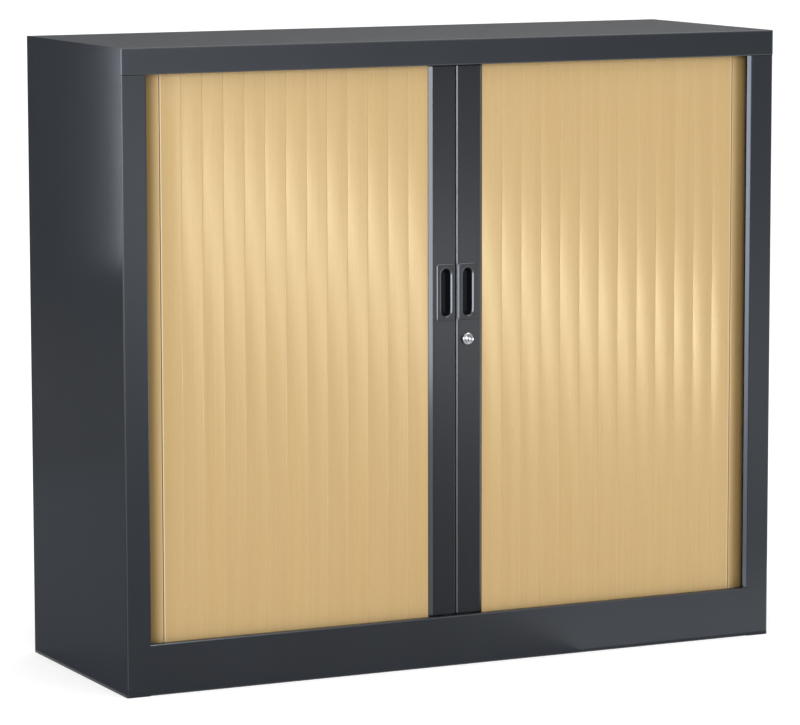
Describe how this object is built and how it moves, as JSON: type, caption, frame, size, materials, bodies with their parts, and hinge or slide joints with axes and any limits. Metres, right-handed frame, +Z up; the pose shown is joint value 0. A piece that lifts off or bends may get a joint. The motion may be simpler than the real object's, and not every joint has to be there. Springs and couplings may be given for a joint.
{
  "type": "tambour door cabinet",
  "caption": "Low steel storage cabinet with slatted tambour doors that part in the middle and roll round into its sides, finger pulls, a hook lock and shelves.",
  "frame": {"origin": "on the floor, under the middle of the cabinet", "axes": "+Z up, +X along the width to the right of someone facing it, the doors face -Y"},
  "size_m": [1.2, 0.42, 1.05],
  "materials": {
    "painted_steel": "satin anthracite powder coat",
    "curtain": "satin light beech print",
    "dark_plastic": "black, fine texture",
    "handle_plastic": "dark grey, satin",
    "lock_chrome": "polished",
    "zinc": "bright zinc plate"
  },
  "bodies": {
    "cabinet": {"top_panel": "painted_steel", "base_panel": "painted_steel", "right_side_panel": "painted_steel", "left_side_panel": "painted_steel", "back_panel": "painted_steel", "right_lining": "painted_steel", "left_lining": "painted_steel", "right_lower_track": "dark_plastic", "left_lower_track": "dark_plastic", "right_upper_track": "dark_plastic", "left_upper_track": "dark_plastic", "lower_shelf": "painted_steel", "upper_shelf": "painted_steel", "lower_clip_front_left": "zinc", "lower_clip_front_right": "zinc", "lower_clip_rear_left": "zinc", "lower_clip_rear_right": "zinc", "upper_clip_front_left": "zinc", "upper_clip_front_right": "zinc", "upper_clip_rear_left": "zinc", "upper_clip_rear_right": "zinc"},
    "right_door": {"right_post": "painted_steel", "right_handle_cup": "handle_plastic", "lock_barrel": "lock_chrome"},
    "left_door": {"left_post": "painted_steel", "left_handle_cup": "handle_plastic"},
    "lock_core": {"lock_plug": "lock_chrome", "lock_hook": "zinc"},
    "right_slat_01": {"right_slat_01": "curtain"},
    "right_slat_02": {"right_slat_02": "curtain"},
    "right_slat_03": {"right_slat_03": "curtain"},
    "right_slat_04": {"right_slat_04": "curtain"},
    "right_slat_05": {"right_slat_05": "curtain"},
    "right_slat_06": {"right_slat_06": "curtain"},
    "right_slat_07": {"right_slat_07": "curtain"},
    "right_slat_08": {"right_slat_08": "curtain"},
    "right_slat_09": {"right_slat_09": "curtain"},
    "right_slat_10": {"right_slat_10": "curtain"},
    "right_slat_11": {"right_slat_11": "curtain"},
    "right_slat_12": {"right_slat_12": "curtain"},
    "right_slat_13": {"right_slat_13": "curtain"},
    "right_slat_14": {"right_slat_14": "curtain"},
    "left_slat_01": {"left_slat_01": "curtain"},
    "left_slat_02": {"left_slat_02": "curtain"},
    "left_slat_03": {"left_slat_03": "curtain"},
    "left_slat_04": {"left_slat_04": "curtain"},
    "left_slat_05": {"left_slat_05": "curtain"},
    "left_slat_06": {"left_slat_06": "curtain"},
    "left_slat_07": {"left_slat_07": "curtain"},
    "left_slat_08": {"left_slat_08": "curtain"},
    "left_slat_09": {"left_slat_09": "curtain"},
    "left_slat_10": {"left_slat_10": "curtain"},
    "left_slat_11": {"left_slat_11": "curtain"},
    "left_slat_12": {"left_slat_12": "curtain"},
    "left_slat_13": {"left_slat_13": "curtain"},
    "left_slat_14": {"left_slat_14": "curtain"},
    "front_left_foot": {"front_left_foot": "dark_plastic"},
    "front_right_foot": {"front_right_foot": "dark_plastic"},
    "rear_left_foot": {"rear_left_foot": "dark_plastic"},
    "rear_right_foot": {"rear_right_foot": "dark_plastic"}
  },
  "joints": [
    {"name": "right_door_slide", "type": "slide", "parent": "cabinet", "child": "right_door", "axis": [1, 0, 0], "range_m": [0, 0.5], "deforming": ["right_slat_01", "right_slat_02", "right_slat_03", "right_slat_04", "right_slat_05", "right_slat_06", "right_slat_07", "right_slat_08", "right_slat_09", "right_slat_10", "right_slat_11", "right_slat_12", "right_slat_13"]},
    {"name": "right_slat_01_slide", "type": "slide", "parent": "cabinet", "child": "right_slat_01", "axis": [1, 0, 0], "range_m": [0, 0.5]},
    {"name": "right_slat_02_slide", "type": "slide", "parent": "cabinet", "child": "right_slat_02", "axis": [1, 0.0009, 0], "range_m": [0, 0.4632]},
    {"name": "right_slat_03_slide", "type": "slide", "parent": "cabinet", "child": "right_slat_03", "axis": [1, 0.0019, 0], "range_m": [0, 0.42641]},
    {"name": "right_slat_04_slide", "type": "slide", "parent": "cabinet", "child": "right_slat_04", "axis": [1, 0.0031, 0], "range_m": [0, 0.38961]},
    {"name": "right_slat_05_slide", "type": "slide", "parent": "cabinet", "child": "right_slat_05", "axis": [1, 0.0045, 0], "range_m": [0, 0.35281]},
    {"name": "right_slat_06_slide", "type": "slide", "parent": "cabinet", "child": "right_slat_06", "axis": [1, 0.0063, 0], "range_m": [0, 0.31601]},
    {"name": "right_slat_07_slide", "type": "slide", "parent": "cabinet", "child": "right_slat_07", "axis": [1, 0.0086, 0], "range_m": [0, 0.27922]},
    {"name": "right_slat_08_slide", "type": "slide", "parent": "cabinet", "child": "right_slat_08", "axis": [0.9999, 0.0116, 0], "range_m": [0, 0.24242]},
    {"name": "right_slat_09_slide", "type": "slide", "parent": "cabinet", "child": "right_slat_09", "axis": [0.9999, 0.0156, 0], "range_m": [0, 0.20563]},
    {"name": "right_slat_10_slide", "type": "slide", "parent": "cabinet", "child": "right_slat_10", "axis": [0.9998, 0.0213, 0], "range_m": [0, 0.16884]},
    {"name": "right_slat_11_slide", "type": "slide", "parent": "cabinet", "child": "right_slat_11", "axis": [0.9995, 0.0303, 0], "range_m": [0, 0.13207]},
    {"name": "right_slat_12_slide", "type": "slide", "parent": "cabinet", "child": "right_slat_12", "axis": [0.9989, 0.0462, 0], "range_m": [0, 0.09531]},
    {"name": "right_slat_13_slide", "type": "slide", "parent": "cabinet", "child": "right_slat_13", "axis": [0.9966, 0.0819, 0], "range_m": [0, 0.0586]},
    {"name": "right_slat_14_turn", "type": "hinge", "parent": "cabinet", "child": "right_slat_14", "pos_m": [0.529, -0.132, 0], "axis": [0, 0, 1], "range_deg": [0, 36.94]},
    {"name": "left_door_slide", "type": "slide", "parent": "cabinet", "child": "left_door", "axis": [-1, 0, 0], "range_m": [0, 0.5], "deforming": ["left_slat_01", "left_slat_02", "left_slat_03", "left_slat_04", "left_slat_05", "left_slat_06", "left_slat_07", "left_slat_08", "left_slat_09", "left_slat_10", "left_slat_11", "left_slat_12", "left_slat_13"]},
    {"name": "left_slat_01_slide", "type": "slide", "parent": "cabinet", "child": "left_slat_01", "axis": [-1, 0, 0], "range_m": [0, 0.5]},
    {"name": "left_slat_02_slide", "type": "slide", "parent": "cabinet", "child": "left_slat_02", "axis": [-1, 0.0009, 0], "range_m": [0, 0.4632]},
    {"name": "left_slat_03_slide", "type": "slide", "parent": "cabinet", "child": "left_slat_03", "axis": [-1, 0.0019, 0], "range_m": [0, 0.42641]},
    {"name": "left_slat_04_slide", "type": "slide", "parent": "cabinet", "child": "left_slat_04", "axis": [-1, 0.0031, 0], "range_m": [0, 0.38961]},
    {"name": "left_slat_05_slide", "type": "slide", "parent": "cabinet", "child": "left_slat_05", "axis": [-1, 0.0045, 0], "range_m": [0, 0.35281]},
    {"name": "left_slat_06_slide", "type": "slide", "parent": "cabinet", "child": "left_slat_06", "axis": [-1, 0.0063, 0], "range_m": [0, 0.31601]},
    {"name": "left_slat_07_slide", "type": "slide", "parent": "cabinet", "child": "left_slat_07", "axis": [-1, 0.0086, 0], "range_m": [0, 0.27922]},
    {"name": "left_slat_08_slide", "type": "slide", "parent": "cabinet", "child": "left_slat_08", "axis": [-0.9999, 0.0116, 0], "range_m": [0, 0.24242]},
    {"name": "left_slat_09_slide", "type": "slide", "parent": "cabinet", "child": "left_slat_09", "axis": [-0.9999, 0.0156, 0], "range_m": [0, 0.20563]},
    {"name": "left_slat_10_slide", "type": "slide", "parent": "cabinet", "child": "left_slat_10", "axis": [-0.9998, 0.0213, 0], "range_m": [0, 0.16884]},
    {"name": "left_slat_11_slide", "type": "slide", "parent": "cabinet", "child": "left_slat_11", "axis": [-0.9995, 0.0303, 0], "range_m": [0, 0.13207]},
    {"name": "left_slat_12_slide", "type": "slide", "parent": "cabinet", "child": "left_slat_12", "axis": [-0.9989, 0.0462, 0], "range_m": [0, 0.09531]},
    {"name": "left_slat_13_slide", "type": "slide", "parent": "cabinet", "child": "left_slat_13", "axis": [-0.9966, 0.0819, 0], "range_m": [0, 0.0586]},
    {"name": "left_slat_14_turn", "type": "hinge", "parent": "cabinet", "child": "left_slat_14", "pos_m": [-0.529, -0.132, 0], "axis": [0, 0, -1], "range_deg": [0, 36.94]},
    {"name": "lock_turn", "type": "hinge", "parent": "right_door", "child": "lock_core", "pos_m": [0.02, -0.1785, 0.55058], "axis": [0, -1, 0], "range_deg": [0, 90]},
    {"name": "front_left_foot_travel", "type": "slide", "parent": "cabinet", "child": "front_left_foot", "axis": [0, 0, -1], "range_m": [0, 0.012]},
    {"name": "front_right_foot_travel", "type": "slide", "parent": "cabinet", "child": "front_right_foot", "axis": [0, 0, -1], "range_m": [0, 0.012]},
    {"name": "rear_left_foot_travel", "type": "slide", "parent": "cabinet", "child": "rear_left_foot", "axis": [0, 0, -1], "range_m": [0, 0.012]},
    {"name": "rear_right_foot_travel", "type": "slide", "parent": "cabinet", "child": "rear_right_foot", "axis": [0, 0, -1], "range_m": [0, 0.012]}
  ],
  "couplings": [
    {"joint": "right_slat_01_slide", "follows": "right_door_slide", "ratio": 1},
    {"joint": "right_slat_02_slide", "follows": "right_door_slide", "ratio": 0.9264},
    {"joint": "right_slat_03_slide", "follows": "right_door_slide", "ratio": 0.8528},
    {"joint": "right_slat_04_slide", "follows": "right_door_slide", "ratio": 0.7792},
    {"joint": "right_slat_05_slide", "follows": "right_door_slide", "ratio": 0.70561},
    {"joint": "right_slat_06_slide", "follows": "right_door_slide", "ratio": 0.63201},
    {"joint": "right_slat_07_slide", "follows": "right_door_slide", "ratio": 0.55842},
    {"joint": "right_slat_08_slide", "follows": "right_door_slide", "ratio": 0.48483},
    {"joint": "right_slat_09_slide", "follows": "right_door_slide", "ratio": 0.41125},
    {"joint": "right_slat_10_slide", "follows": "right_door_slide", "ratio": 0.33768},
    {"joint": "right_slat_11_slide", "follows": "right_door_slide", "ratio": 0.26412},
    {"joint": "right_slat_12_slide", "follows": "right_door_slide", "ratio": 0.1906},
    {"joint": "right_slat_13_slide", "follows": "right_door_slide", "ratio": 0.11719},
    {"joint": "right_slat_14_turn", "follows": "right_door_slide", "rad_per_m": 1.289},
    {"joint": "left_slat_01_slide", "follows": "left_door_slide", "ratio": 1},
    {"joint": "left_slat_02_slide", "follows": "left_door_slide", "ratio": 0.9264},
    {"joint": "left_slat_03_slide", "follows": "left_door_slide", "ratio": 0.8528},
    {"joint": "left_slat_04_slide", "follows": "left_door_slide", "ratio": 0.7792},
    {"joint": "left_slat_05_slide", "follows": "left_door_slide", "ratio": 0.70561},
    {"joint": "left_slat_06_slide", "follows": "left_door_slide", "ratio": 0.63201},
    {"joint": "left_slat_07_slide", "follows": "left_door_slide", "ratio": 0.55842},
    {"joint": "left_slat_08_slide", "follows": "left_door_slide", "ratio": 0.48483},
    {"joint": "left_slat_09_slide", "follows": "left_door_slide", "ratio": 0.41125},
    {"joint": "left_slat_10_slide", "follows": "left_door_slide", "ratio": 0.33768},
    {"joint": "left_slat_11_slide", "follows": "left_door_slide", "ratio": 0.26412},
    {"joint": "left_slat_12_slide", "follows": "left_door_slide", "ratio": 0.1906},
    {"joint": "left_slat_13_slide", "follows": "left_door_slide", "ratio": 0.11719},
    {"joint": "left_slat_14_turn", "follows": "left_door_slide", "rad_per_m": 1.289}
  ]
}
